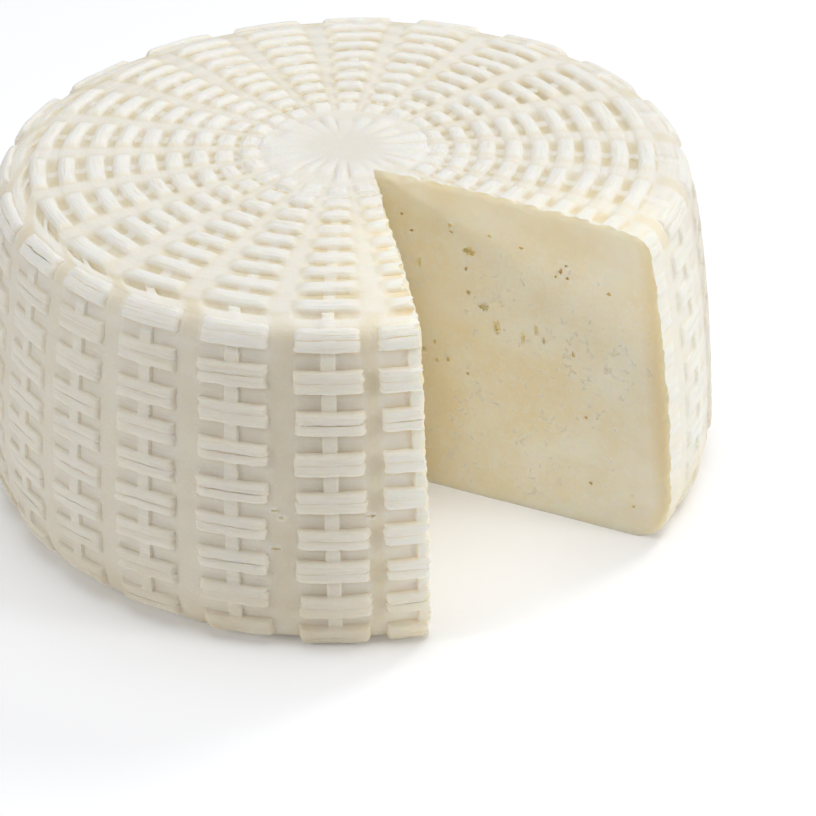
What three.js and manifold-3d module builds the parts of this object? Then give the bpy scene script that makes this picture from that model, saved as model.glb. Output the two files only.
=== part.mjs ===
// A wheel of fresh white cheese that was moulded in a woven basket, with a wedge cut out of it.
// Millimetres, +Z up. The origin is on the wheel's axis at its flat underside, and -Y is the front.
import * as THREE from "three";
import { mergeGeometries, mergeVertices } from "three/addons/utils/BufferGeometryUtils.js";
import Module from "manifold-3d";

// Body: the smooth surface between the raised bars, as radius and height, up the wall and over the domed top
const RIM = [71.2, 71.7];
const MIDDLE_LEVEL = 74.4;
const WALL = [[75.8, 0], [80.3, 8.6], [79, 34], [74.2, 67], RIM];
const TOP = [RIM, [57, 73.3], [36, 74], [0, MIDDLE_LEVEL]];

// Columns of the weave: each runs up the wall, over the rim and across the top towards the middle
const COLUMNS = 22;
const COLUMN_STEP = 360 / COLUMNS;
const FIRST_COLUMN_DEG = -3.2;

// Draws: each shifts the weave by an amount, most at one heading and less over a width away from it
const TOP_DRAW = { shift: -9.5, at: 88, width: 48 };
const LEFT_DRAW = { shift: 10, at: -85, width: 48 };
const FRONT_DRAW = { shift: -2.6, at: 13, width: 12 };
const ROW_CLIMB = { shift: 3.3, at: -48, width: 28 };
const CLIMB_AT_RIM = 0.4;

// Bars: the short raised strands that cross each column, with ends and edges that lean in
const BAR_SHARE = 0.36;
const BAR_ROOT = 1;
const BAR_DRAFT = 0.5;

// Bars on the wall, counted up from the foot
const WALL_ROWS = 8;
const WALL_FOOT_ROW = 4;
const WALL_ROW_PITCH = 8.2;
const WALL_BAR_HEIGHT = 5.2;
const WALL_BAR_RISE = 1.1;

// Bars on the rim: the section of one, from its lower edge on the wall round to its inner edge
const RIM_BAR = [[72.2, 67.3], [75.2, 68], [74.3, 70.7], [72.4, 72.5], [70.4, 71.2]];

// Bars on the top, counted from the rim inwards, a little closer towards the middle
const TOP_RINGS = 9;
const TOP_FIRST_RING = 65;
const TOP_RING_PITCH = 5.95;
const TOP_RING_CLOSING = 0.045;
const TOP_BAR_WIDTH = 4;
const TOP_BAR_RISE = 1;

// Middle of the top: a low round boss with broad petals
const PETALS = COLUMNS / 2;
const PETAL_HALF_DEG = 13.5;
const PETAL_INNER = 6;
const PETAL_OUTER = 16.4;
const BOSS_RADIUS = 8;
const BOSS_RISE = 0.8;

// Cut: two upright knife cuts that meet beside the middle, each with its heading from the front to +X
const CUT_CORNER = [6.2, -11.8];
const CUT_LEFT_DEG = 7.4;
const CUT_RIGHT_DEG = 61.5;
const CUT_REACH = 120;
const CUT_MARGIN = 5;

const CHEESE = new THREE.MeshStandardMaterial({
  color: 0xf1ece0,
  roughness: 0.6,
  metalness: 0,
  flatShading: true,
});

const wasm = await Module();
wasm.setup();

const radians = THREE.MathUtils.degToRad;

// Radius of the smooth wall at a height
function wallRadius(height) {
  const upper = Math.max(1, WALL.findIndex(([, z]) => z >= height));
  const [lowRadius, low] = WALL[upper - 1];
  const [highRadius, high] = WALL[upper];
  return THREE.MathUtils.mapLinear(height, low, high, lowRadius, highRadius);
}

// Height of the smooth top at a radius
function topLevel(radius) {
  const inner = Math.max(1, TOP.findIndex(([r]) => r <= radius));
  const [outerRadius, low] = TOP[inner - 1];
  const [innerRadius, high] = TOP[inner];
  return THREE.MathUtils.mapLinear(Math.min(radius, outerRadius), outerRadius, innerRadius, low, high);
}

// How far a point of a section stands out of the body's smooth surface
function rise(radius, height) {
  const overWall = radius - wallRadius(Math.min(height, RIM[1]));
  return Math.max(0, overWall, height - topLevel(radius));
}

// Shift that a draw gives at a heading
function drawn(deg, { shift, at, width }) {
  const away = THREE.MathUtils.euclideanModulo(deg - at + 180, 360) - 180;
  return shift * Math.exp(-((away / width) ** 2));
}

// Heading of a column on the top, counted from the front; half columns lie between two of them
function topDeg(column) {
  const even = FIRST_COLUMN_DEG + column * COLUMN_STEP;
  return even + drawn(even, TOP_DRAW);
}

// Heading of a column on the wall
function wallDeg(column) {
  const top = topDeg(column);
  return top + drawn(top, LEFT_DRAW) + drawn(top, FRONT_DRAW);
}

// Half the length of a bar in a column, in degrees
function barHalfDeg(deg, column) {
  return BAR_SHARE * (deg(column + 1) - deg(column - 1)) / 2;
}

// Sweeps a section of radius and height straight across a column, with ends that lean in as they rise
function sector(section, centreDeg, halfDeg) {
  const shape = new THREE.Shape(section.map(([radius, height]) => new THREE.Vector2(radius, height)));
  const geometry = new THREE.ExtrudeGeometry(shape, { depth: 2, bevelEnabled: false });
  const position = geometry.attributes.position;
  for (let i = 0; i < position.count; i += 1) {
    const radius = position.getX(i);
    const height = position.getY(i);
    const half = radians(halfDeg) - BAR_DRAFT * rise(radius, height) / radius;
    const angle = radians(centreDeg) + half * (1 - position.getZ(i));
    position.setXYZ(i, radius * Math.sin(angle), -radius * Math.cos(angle), height);
  }
  return geometry;
}

// Makes a solid from closed geometry: shared vertices merged, triangles without area left out
function solid(geometry) {
  const bare = new THREE.BufferGeometry();
  bare.setAttribute("position", geometry.attributes.position.clone());
  bare.setIndex(geometry.index);
  const merged = mergeVertices(bare);
  const triangles = [];
  for (let i = 0; i < merged.index.count; i += 3) {
    const corners = [0, 1, 2].map((k) => merged.index.getX(i + k));
    if (new Set(corners).size === 3) triangles.push(...corners);
  }
  const mesh = new wasm.Mesh({
    numProp: 3,
    vertProperties: merged.attributes.position.array,
    triVerts: new Uint32Array(triangles),
  });
  return new wasm.Manifold(mesh);
}

// Turns a solid back into geometry
function geometryOf(shape) {
  const mesh = shape.getMesh();
  const geometry = new THREE.BufferGeometry();
  geometry.setAttribute("position", new THREE.BufferAttribute(mesh.vertProperties, mesh.numProp));
  geometry.setIndex(new THREE.BufferAttribute(mesh.triVerts, 1));
  geometry.computeVertexNormals();
  return geometry;
}

// Smooth body, turned from the outline, with its corners between the wall's columns
function bodySolid() {
  const corners = [[0, 0], ...WALL, ...TOP.slice(1)];
  const outline = corners.map(([radius, height]) => new THREE.Vector2(radius, height));
  const body = new THREE.LatheGeometry(outline, COLUMNS).rotateX(Math.PI / 2);
  const position = body.attributes.position;
  for (let i = 0; i < position.count; i += 1) {
    const side = Math.floor(i / outline.length) % COLUMNS;
    const { x: radius, y: height } = outline[i % outline.length];
    const angle = radians(wallDeg(side + 0.5));
    position.setXYZ(i, radius * Math.sin(angle), -radius * Math.cos(angle), height);
  }
  return solid(body);
}

// Section of a bar on the wall
function wallBarSection(row, column) {
  const climb = drawn(wallDeg(column), ROW_CLIMB) * (1 - (1 - CLIMB_AT_RIM) * row / WALL_ROWS);
  const middle = WALL_FOOT_ROW + row * WALL_ROW_PITCH + climb;
  const low = middle - WALL_BAR_HEIGHT / 2;
  const high = middle + WALL_BAR_HEIGHT / 2;
  const crests = [low + BAR_DRAFT, high - BAR_DRAFT].map((z) => [wallRadius(z) + WALL_BAR_RISE, z]);
  return [[wallRadius(low) - BAR_ROOT, low], ...crests, [wallRadius(high) - BAR_ROOT, high]];
}

// Section of a bar on the top
function topBarSection(ring) {
  const middle = TOP_FIRST_RING - ring * TOP_RING_PITCH + ring ** 2 * TOP_RING_CLOSING;
  const inner = middle - TOP_BAR_WIDTH / 2;
  const outer = middle + TOP_BAR_WIDTH / 2;
  const crest = topLevel(middle) + TOP_BAR_RISE;
  const root = topLevel(middle) - BAR_ROOT;
  return [[inner, root], [outer, root], [outer - BAR_DRAFT, crest], [inner + BAR_DRAFT, crest]];
}

// All bars as one solid of separate lumps
function barsSolid() {
  const bars = [];
  for (let column = 0; column < COLUMNS; column += 1) {
    const wallHalf = barHalfDeg(wallDeg, column);
    const topHalf = barHalfDeg(topDeg, column);
    for (let row = 0; row < WALL_ROWS; row += 1) {
      bars.push(sector(wallBarSection(row, column), wallDeg(column), wallHalf));
    }
    bars.push(sector(RIM_BAR, wallDeg(column), wallHalf));
    for (let ring = 0; ring < TOP_RINGS; ring += 1) {
      bars.push(sector(topBarSection(ring), topDeg(column), topHalf));
    }
  }
  return solid(mergeGeometries(bars));
}

// Petals round the middle of the top
function petalsSolid() {
  const crest = MIDDLE_LEVEL + BOSS_RISE;
  const root = MIDDLE_LEVEL - BAR_ROOT;
  const foot = [[PETAL_INNER, root], [PETAL_OUTER, root]];
  const section = [...foot, [PETAL_OUTER - BAR_DRAFT, crest], [PETAL_INNER, crest]];
  const petals = [];
  for (let petal = 0; petal < PETALS; petal += 1) {
    petals.push(sector(section, FIRST_COLUMN_DEG + petal * 360 / PETALS, PETAL_HALF_DEG));
  }
  return solid(mergeGeometries(petals));
}

// Round boss in the middle of the top
function bossSolid() {
  const depth = BAR_ROOT + BOSS_RISE;
  const boss = new THREE.CylinderGeometry(BOSS_RADIUS, BOSS_RADIUS, depth, COLUMNS);
  boss.rotateX(Math.PI / 2);
  return solid(boss.translate(0, 0, MIDDLE_LEVEL - BAR_ROOT + depth / 2));
}

// Space of the wedge that was cut out
function cutSolid() {
  const corner = new THREE.Vector2(...CUT_CORNER);
  const middleDeg = (CUT_LEFT_DEG + CUT_RIGHT_DEG) / 2;
  const reaches = [CUT_LEFT_DEG, middleDeg, CUT_RIGHT_DEG].map((heading) => {
    const angle = radians(heading);
    return new THREE.Vector2(Math.sin(angle), -Math.cos(angle)).multiplyScalar(CUT_REACH).add(corner);
  });
  const depth = MIDDLE_LEVEL + 2 * CUT_MARGIN;
  const wedge = new THREE.Shape([corner, ...reaches]);
  const cut = new THREE.ExtrudeGeometry(wedge, { depth, bevelEnabled: false });
  return solid(cut.translate(0, 0, -CUT_MARGIN));
}

const moulded = bodySolid().add(barsSolid()).add(bossSolid()).add(petalsSolid());
const wheel = new THREE.Mesh(geometryOf(moulded.subtract(cutSolid())), CHEESE);
wheel.name = "cheese_wheel";

const part = new THREE.Group();
part.add(wheel);

export default part;
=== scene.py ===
# A wheel of fresh white cheese that was moulded in a woven basket, with a wedge cut out of it.
# Lengths are millimetres until a mesh is made, and angles run in degrees from the front (-Y) towards +X.
from collections import namedtuple

import bmesh
import bpy
import numpy as np
from mathutils import Matrix, Vector, noise


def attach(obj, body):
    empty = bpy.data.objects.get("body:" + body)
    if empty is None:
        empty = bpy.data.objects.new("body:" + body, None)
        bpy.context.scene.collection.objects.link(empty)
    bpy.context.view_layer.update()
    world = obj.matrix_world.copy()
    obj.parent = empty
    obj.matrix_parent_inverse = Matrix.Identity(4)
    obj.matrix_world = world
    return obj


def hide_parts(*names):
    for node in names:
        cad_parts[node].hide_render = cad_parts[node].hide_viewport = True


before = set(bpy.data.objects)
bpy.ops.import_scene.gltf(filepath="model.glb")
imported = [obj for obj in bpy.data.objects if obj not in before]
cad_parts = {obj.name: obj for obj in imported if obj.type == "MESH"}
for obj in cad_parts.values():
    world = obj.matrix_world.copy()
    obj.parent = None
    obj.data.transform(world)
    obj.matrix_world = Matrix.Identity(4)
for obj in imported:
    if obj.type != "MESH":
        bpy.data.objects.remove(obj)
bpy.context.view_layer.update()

MM = 0.001
rng = np.random.default_rng(11)
hub_rng = np.random.default_rng(5)

# Body: the smooth surface that the weave stands on, as radius and height from the foot to the top's middle
RIM_LEVEL = 72.2
PROFILE = [
    (73.0, 0.0), (75.4, 0.5), (77.4, 2.1), (79.1, 5.0), (80.1, 9.4), (79.8, 24.0), (79.0, 34.4),
    (77.4, 48.0), (75.5, 60.0), (74.2, 67.2), (73.1, 70.2), (71.3, 71.7), (68.5, RIM_LEVEL),
    (64.0, 72.7), (57.0, 73.3), (48.0, 73.7), (36.0, 74.0), (20.0, 74.3), (0.0, 74.4),
]
PROFILE_STEP = 0.1
PROFILE_SOFTENING = 2.4
RIM_SPAN = 1.0
BASE_RADII = [66.0, 45.0]
# The base's crease value gives it a little painted shade
BASE_CREASE = 0.2

# Columns of the weave, up the wall, over the rim and across the top; the wall's draws add to the top's
COLUMNS = 22
COLUMN_STEP = 360 / COLUMNS
FIRST_COLUMN = -3.2
TOP_DRAWS = [(-9.5, 88.0, 48.0)]
WALL_DRAWS = [(10.0, -85.0, 48.0), (-2.6, 13.0, 12.0)]

# Bars on the wall: short raised strands that cross each column, in rows counted up from the foot
BAR_SHARE = 0.375
WALL_ROWS = 8
WALL_FOOT_ROW = 4.0
WALL_PITCH = 8.2
WALL_SCATTER = 0.16
WALL_BAR = 5.0
WALL_BAR_SPREAD = (0.94, 1.05)
WALL_RISE = 0.98
WALL_RISE_DRAWS = [(0.52, 0.0, 22.0), (-0.45, 75.0, 38.0), (-0.25, -68.0, 28.0)]
LOWEST_BAR_EDGE = 0.9

# Bars on the rim
RIM_FOOT = 67.3
RIM_SCATTER = 0.15
RIM_BAR = 5.2
RIM_RISE = 1.1
RIM_RISE_DRAWS = [(-0.6, 80.0, 40.0)]

# Bars on the top, in rings counted from the rim inwards, closer and less even towards the middle
TOP_RINGS = 9
FIRST_RING = 65.0
RING_PITCH = 5.95
RING_CLOSING = 0.045
RING_SCATTER = 0.14
RING_WIDTH = 4.0
RING_WIDTH_SPREAD = (0.93, 1.07)
RING_WIDTH_DRAWS = [(-0.6, 145.0, 60.0)]
RING_RISE = 1.2
INNER_RINGS = 2
INNER_RISE = (0.5, 1.05)
BAR_COUNT = WALL_ROWS + 1 + TOP_RINGS

# How single bars differ: in rise, in the groove between their two strands, at their ends and in slant
RISE_SPREAD = (0.86, 1.1)
GROOVE_GAMMA = (0.9, 0.2)
GROOVE_LIMITS = (0.02, 0.8)
GROOVE_SCATTER = 0.05
END_SCATTER = 0.16
RAGGED_SCATTER = 0.11
SLANT_SCATTER = 0.12

# Rows climb a little on the left of the front, more at the foot than at the rim, and dip at the very front
CLIMB_DRAWS = [(3.3, -48.0, 28.0)]
CLIMB_AT_RIM = 0.4
DIP_DRAWS = [(1.1, 1.0, 13.0)]

# Upright strands that show between the bars; on the rim they sink where the weave is drawn sideways
STAKE_HALF = 1.6
STAKE_MOST = 0.3
STAKE_EDGE = 0.35
STAKE_RISE = 0.6
RIM_STAKE_RISE = 0.3
RIM_STAKE_TURN = 4.0
TOP_STAKE_RISE = (-0.4, 0.12)
TOP_STAKE_SHARE = 0.85

# Middle of the top: flutes of uneven length that run out from a smooth, slightly sunken disc
HUB_RADII = [17.6, 16.8, 15.9, 14.9, 13.7, 12.4, 11.0, 9.4, 7.8]
DISC_RADII = [5.8, 3.4]
DISC_RISE = 0.75
FLUTE_RISE = 1.1
FLUTE_FOOT = 0.4
FLUTE_START_SLOPE = 6.0
FLUTE_ENDS = (12.0, 21.5)
FLUTE_END_SLOPE = 2.4
FLUTE_GROOVES = (0.1, 0.85)
FLUTE_DRAWS = [(-0.8, -90.0, 50.0)]
FLUTE_SHARPNESS = 3
# The flutes' creases get painted shade, less where they rise
HUB_CREASE = 0.55
HUB_CREASE_FALL = 0.6
HUB_CREASE_MOST = 0.3

# Grid across a bar: a line's place as a share of the half width, its relief, and how deep it lies in a
# crease, which sets how much painted shade it gets
WALL_SECTION = [
    (-1, 0, 0.9), (-0.88, 0.75, 0.2), (-0.7, 1, 0), (-0.38, 0.97, 0), (-0.07, 0.92, 0), (0, 0.9, 0.8),
    (0.07, 0.92, 0), (0.38, 0.97, 0), (0.7, 1, 0), (0.88, 0.75, 0.2), (1, 0, 0.6),
]
TOP_SECTION = [
    (-1, -0.1, 0.9), (-0.8, 0.6, 0.2), (-0.45, 0.92, 0), (0, 1, 0), (0.45, 0.92, 0), (0.8, 0.6, 0.1),
    (1, -0.1, 0.7),
]

# Grid between two rows of bars: the recess, the strip inside the rim, which fades on the right, and the foot,
# with crease values that give them painted shade
RECESS_PLACES = [0.33, 0.67]
WALL_RECESS = -0.12
WALL_RECESS_CREASE = 0.35
TOP_RECESS = -0.18
TOP_RECESS_DRAWS = [(-0.42, 170.0, 70.0)]
TOP_RECESS_CREASE = 1.0
STRIP_SECTION = [(0.14, 0.08, 0.25), (0.38, 0.12, 0.25), (0.52, 0.06, 0.4), (0.66, -0.4, 1), (0.84, -0.55, 1)]
STRIP_INNER = 0.6
STRIP_DRAWS = [(-0.8, 85.0, 45.0)]
FOOT_PLACES = [0.0, 0.4, 0.75]
FOOT_CREASE = 0.9

# Grid along a bar, end to end: its relief, the stake, the groove, and where creases get painted shade
END_RELIEF = np.array([0, 0.6, 0.95, 1, 1, 1, 1, 1, 1, 1, 1, 1, 0.95, 0.6, 0])
ON_STAKE = np.array([0, 0, 0, 0, 0, 0, 1, 1, 1, 0, 0, 0, 0, 0, 0])
GROOVE_REACH = np.array([0, 0, 0, 0.5, 1, 1, 1, 1, 1, 1, 1, 0.5, 0, 0, 0])
CREASE_REACH = np.array([0.3, 0.8, 1, 1, 1, 1, 0.5, 0.3, 0.5, 1, 1, 1, 1, 0.8, 0.3])
END_CREASE = np.array([0.5, 0.3, 0, 0, 0, 0, 0, 0, 0, 0, 0, 0, 0, 0.3, 0.5])
OUTER_LINE = 0.62
INNER_LINE = 0.42

# Slope at a bar's end, its steep part and all of it: on the wall, on the top, and most of the half length
END_SLOPES = [(0.34, 0.8, 0.13), (0.95, 2.2, 0.34)]

# Inside this radius the slopes get shorter and the grid has half as many points
FINE_RADIUS = 42.0

# Gaps between the columns, whose crease values give them painted shade, more at the front and less on the
# brightly lit right
GAP_PLACES = np.array([0.25, 0.5, 0.75])
WALL_GAP = -0.15
WALL_GAP_CREASE = 0.35
WALL_GAP_DRAWS = [(0.5, 0.0, 26.0), (-0.25, 85.0, 35.0)]
RIM_GAP_CREASE = 0.7
TOP_GAP_BAR = 0.32
TOP_GAP_DRAWS = [(0.42, 80.0, 32.0)]
TOP_GAP_RECESS = 0.2
TOP_GAP_CREASE = 0.3

# Painted shade and whey in the creases, by heading: more at the front of the wall and at the back of the top,
# less on the brightly lit right wall
SHADE_AND_WHEY_SHARE = 0.72
SHADE_AND_WHEY_DRAWS = [(0.55, 3.0, 11.0), (-0.3, 85.0, 35.0)]
TOP_SHADE_AND_WHEY_SHARE = 1.0
TOP_SHADE_AND_WHEY_DRAWS = [(0.2, 170.0, 70.0)]

# Unevenness of the skin, in layers with a depth, a size and a place along a line through the noise
NOISE_LINE = (1.0, 2.3, -1.7)
SKIN_LAYERS = [(0.4, 26.0, 1.0), (0.16, 7.0, 4.0), (0.07, 2.2, 9.0)]

# Fine strands along the weave, which show more where it rises
STRAND_DEPTH = 0.17
STRAND_WIDTH = 0.9
STRAND_LENGTH = 8.0
STRAND_PLACE = 14.0
STRAND_RISES = (0.3, 1.0)

# Wander of the grid's lines to and fro along the profile, less near the foot
WANDER = 0.18
WANDER_LENGTH = 1.7
WANDER_WIDTH = 2.4
WANDER_PLACE = 51.0
WANDER_FOOT = 4.0

# Cut: two upright knife cuts that meet beside the middle, on a grid that is finer near the skin
CUT_CORNER = np.array([6.2, -11.8])
CUT_LEFT = 7.4
CUT_RIGHT = 61.5
CUT_LINES = 36
CUT_LINES_END = 5.2
CUT_SKIN_LINES = [-4.2, -3.3, -2.6, -2.0, -1.5, -1.1, -0.7, -0.3, 0.1, 0.5, 0.9, 1.3, 1.8, 2.6, 5.0, 25.0]
CUT_LOW_LEVELS = [-4.0, -0.6, 0.2, 0.6, 1.0, 1.5, 2.2, 3.2, 4.4]
CUT_LEVELS = np.linspace(5.6, 66.5, 100)
CUT_TOP_LEVELS = [
    67.6, 68.6, 69.5, 70.3, 71.0, 71.6, 72.1, 72.6, 73.1, 73.6, 74.1, 74.6, 75.1, 75.6, 76.4, 82.0,
]

# Surface of a cut: waves, and an edge that is rounded and jagged where it meets the weave
CUT_LAYERS = [(0.28, 15.0, 21.0), (0.1, 4.0, 27.0), (0.07, 1.5, 33.0)]
CUT_START = 2.0
WALL_WEAVE = 1.0
TOP_WEAVE = 0.8
JAGGED_LAYERS = [(1.6, 1.1, 39.0)]
JAGGED_DEPTH = 1.2
JAGGED_LEFT = 1.0
JAGGED_RIGHT = 0.4
EDGE_ROUND = 0.8
EDGE_DEPTH = 0.9

# Weave beside the right cut, levelled where the knife dragged it along
DRAG_WIDTH = 4.0
DRAG_FULL = 1.3
DRAG_SHARE = 0.75
DRAG_LEVEL = 0.6

# Eyes and cracks in the right cut: distance from its corner, height, width, tallness and lean
Eye = namedtuple("Eye", "run level width tall lean")
RIGHT_EYES = [
    Eye(22.2, 60.7, 2.7, 2.1, 10), Eye(25.6, 48.0, 2.3, 1.9, -20), Eye(28.7, 43.8, 1.8, 3.3, 25),
    Eye(34.8, 42.9, 0.9, 3.2, 15), Eye(37.8, 45.4, 1.1, 2.4, -30), Eye(39.6, 43.2, 0.7, 1.6, 35),
    Eye(8.8, 62.7, 0.9, 0.8, 0), Eye(17.8, 65.9, 0.9, 0.8, 0), Eye(18.0, 64.4, 0.9, 0.7, 0),
    Eye(10.4, 55.3, 0.8, 2.2, -25), Eye(11.0, 34.2, 1.5, 1.3, 0), Eye(13.9, 36.6, 0.7, 1.1, 40),
    Eye(6.5, 66.2, 0.8, 0.8, 0), Eye(21.5, 56.4, 0.8, 1.1, 0), Eye(14.3, 32.1, 0.9, 0.9, 0),
    Eye(17.0, 33.0, 0.9, 1.1, 0), Eye(43.4, 60.9, 0.8, 1.6, 20), Eye(44.9, 59.6, 0.7, 0.8, 0),
    Eye(42.2, 59.4, 0.6, 0.7, 0), Eye(44.6, 62.5, 0.6, 0.7, 0), Eye(46.4, 41.6, 0.7, 1.5, 10),
]
TORN_REACH = 1.5
TORN_ASIDE = 3.0

# Small eyes strewn over both cuts, clear of the others
LOOSE_EYES = 8
LOOSE_LEVELS = (5, 66)
LOOSE_START = 5
LOOSE_END = 6
LOOSE_SIZES = (0.5, 1.2)
LOOSE_LEANS = (-60, 60)
LOOSE_CLEARANCE = 1.0

# Torn spots in the skin: heading, height, width and tallness
TEARS = [(-11.3, 33.4, 2.2, 0.9), (-10.6, 31.9, 1.2, 0.7), (-11.5, 24.8, 2.0, 0.8), (2.4, 32.4, 1.8, 1.0)]

# Hollows of eyes and torn spots: uneven blobs, deeper where they are larger
HOLLOW_DEPTH = 0.3
HOLLOW_DEPTH_SHARE = 0.16
HOLLOW_SINK = 0.15
HOLLOW_UNEVEN = 0.75
HOLLOW_LUMPS = 2.1
FINE_HOLLOW = 1.4

# Points closer than this are joined after the cuts, and edges sharper than this stay sharp
WELD_REACH = 0.0002
SHARP_EDGE = 50

# Colours of the curd
# The next two colours split the curd into a whiter top and a creamier wall: painted light, for how the bright
# light on the top washes the cream out, though the curd is the same all round
TOP_WHITE = "#F1EFE9"
WALL_CREAM = "#E9E3D5"
# The next two colours are painted shade, with some whey colour, for the creases, recesses and gaps of the
# wall and of the top
WALL_SHADE_AND_WHEY = "#D4C6A8"
TOP_SHADE_AND_WHEY = "#DDCFA9"
CRUMB_WHITE = "#F6F4EE"
# The next two colours are a painted glow, whiter skin and golden creases near the outer edge of the left cut,
# where light shines through the thin curd
EDGE_GLOW_WHITE = "#FBF7EC"
EDGE_GLOW_GOLD = "#EEDCB0"
HUB_GREY = "#E9E6DD"
CUT_PALE = "#F9F1DC"
CUT_CREAM = "#F4E7C6"
# The next colour is for torn crumbs round the eyes and for painted highlights on the rims of the pits
CUT_CRUMB_AND_HIGHLIGHT = "#FAF6EA"
# The next colour is painted shade in the pits and low in the inner corner, and a painted yellow band of light
# shining through the thin curd beside the wall
CUT_GLOW_AND_SHADE = "#EAD8A8"
EYE_PALE = "#FCEFC2"
EYE_CREAM = "#F8E4A4"
PAPER_WHITE = "#F9FAFD"

# Numbers of the cut curd's two materials on the wheel, after the moulded curd's
KNIFE_CUT = 1
OPEN_EYE = 2


def linear(hex_colour):
    """Turns an sRGB hex colour to linear red, green, blue and alpha."""
    parts = [int(hex_colour[i:i + 2], 16) / 255 for i in (1, 3, 5)]
    return [p / 12.92 if p <= 0.04045 else ((p + 0.055) / 1.055) ** 2.4 for p in parts] + [1.0]


def between(start, end, share):
    """Value at a share of the way from a start to an end."""
    return start + (end - start) * share


def varied(angles, base, draws):
    """Value at each angle: a base and its draws, each a change, its heading and the width it fades over."""
    changes = []
    for change, at, width in draws:
        away = (angles - at + 180) % 360 - 180
        changes.append(change * np.exp(-(away / width) ** 2))
    return base + sum(changes)


def unevenness(points, size, place):
    """Smooth noise between about -1 and 1 at points in millimetres, with lumps of a size."""
    shift = Vector([part * place for part in NOISE_LINE])
    return np.array([noise.noise(Vector(p) / size + shift) for p in points])


def layered(points, layers):
    """Unevenness of several layers, one on the other."""
    return sum(depth * unevenness(points, size, place) for depth, size, place in layers)


def smooth_profile():
    """Samples the wheel's profile: run along it, radius and height, and the outward normal."""
    corners = np.array(PROFILE)
    run = np.concatenate([[0], np.cumsum(np.hypot(*np.diff(corners, axis=0).T))])
    steps = np.arange(0, run[-1], PROFILE_STEP)
    line = np.stack([np.interp(steps, run, corners[:, axis]) for axis in (0, 1)], 1)
    half = int(PROFILE_SOFTENING / PROFILE_STEP)
    before = 2 * line[0] - line[half:0:-1]
    after = 2 * line[-1] - line[-2:-half - 2:-1]
    padded = np.concatenate([before, line, after])
    window = np.hanning(2 * half + 1)
    window /= window.sum()
    soft = np.stack([np.convolve(padded[:, axis], window, "valid") for axis in (0, 1)], 1)
    run = np.concatenate([[0], np.cumsum(np.hypot(*np.diff(soft, axis=0).T))])
    along = np.gradient(soft, run, axis=0)
    along /= np.linalg.norm(along, axis=1, keepdims=True)
    return run, soft, np.stack([along[:, 1], -along[:, 0]], 1)


RUN, OUTLINE, NORMALS = smooth_profile()
RADII, LEVELS = OUTLINE.T
RIM_INDEX = int(np.argmax(LEVELS > RIM_LEVEL - RIM_SPAN))
TOP_INDEX = int(np.argmax(RADII < FIRST_RING + RING_PITCH))


def run_at_height(height):
    return np.interp(height, LEVELS[:RIM_INDEX], RUN[:RIM_INDEX])


def run_at_radius(radius):
    return np.interp(-np.asarray(radius), -RADII[TOP_INDEX:], RUN[TOP_INDEX:])


def radius_at_run(run):
    return np.interp(run, RUN, RADII)


def wall_radius(height):
    return np.interp(height, LEVELS[:RIM_INDEX], RADII[:RIM_INDEX])


def top_level(radius):
    return np.interp(-radius, -RADII[TOP_INDEX:], LEVELS[TOP_INDEX:])


def column_angles():
    """Middle angle of each column on the wall and on the top, in order round the wheel."""
    even = FIRST_COLUMN + COLUMN_STEP * np.arange(COLUMNS)
    even = np.sort((even + 180) % 360 - 180)
    top = varied(even, even, TOP_DRAWS)
    return varied(top, top, WALL_DRAWS), top


def bar_halves(angles):
    """Half the length of a bar in each column, in degrees."""
    before = np.append(angles[-1] - 360, angles[:-1])
    after = np.append(angles[1:], angles[0] + 360)
    return BAR_SHARE * (after - before) / 2


def bar_bands(angles):
    """Lower and upper edge of every bar, as runs along the profile, for each row and column."""
    climb = varied(angles, 0, CLIMB_DRAWS)
    dip = varied(angles, 0, DIP_DRAWS)
    ring_width = varied(angles, RING_WIDTH, RING_WIDTH_DRAWS)
    bands = []
    for row in range(WALL_ROWS):
        climbed = climb * between(1, CLIMB_AT_RIM, row / WALL_ROWS)
        dipped = dip * np.sin(np.pi * (row + 0.5) / WALL_ROWS)
        level = WALL_FOOT_ROW + WALL_PITCH * row + climbed - dipped + rng.normal(0, WALL_SCATTER, COLUMNS)
        half = WALL_BAR / 2 * rng.uniform(*WALL_BAR_SPREAD, COLUMNS)
        low = np.maximum(level - half, LOWEST_BAR_EDGE)
        bands.append((run_at_height(low), run_at_height(level + half)))
    low = run_at_height(RIM_FOOT + climb * CLIMB_AT_RIM + rng.normal(0, RIM_SCATTER, COLUMNS))
    bands.append((low, low + RIM_BAR + rng.normal(0, RIM_SCATTER, COLUMNS)))
    for ring in range(TOP_RINGS):
        radius = FIRST_RING - RING_PITCH * ring + RING_CLOSING * ring ** 2
        radius = radius + rng.normal(0, RING_SCATTER, COLUMNS)
        half = ring_width / 2 * rng.uniform(*RING_WIDTH_SPREAD, COLUMNS)
        bands.append((run_at_radius(radius + half), run_at_radius(radius - half)))
    return bands


# A row of bars: its number, and each column's bar and stake rise, groove depth and offset, and gap crease
Row = namedtuple("Row", "number rise stake groove offset gap_crease")

# A line of the grid: for each column its run, reliefs, groove and creases, and then its place among the rows
Line = namedtuple("Line", "run relief gap stake groove crease gap_crease place")


def bar_rise(number, angles):
    """Rise of the bars in a row, in each column."""
    if number < WALL_ROWS:
        usual = varied(angles, WALL_RISE, WALL_RISE_DRAWS)
    elif number == WALL_ROWS:
        usual = varied(angles, RIM_RISE, RIM_RISE_DRAWS)
    else:
        usual = RING_RISE
    rise = usual * rng.uniform(*RISE_SPREAD, COLUMNS)
    if number >= BAR_COUNT - INNER_RINGS:
        rise = rise * hub_rng.uniform(*INNER_RISE, COLUMNS)
    return rise


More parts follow.
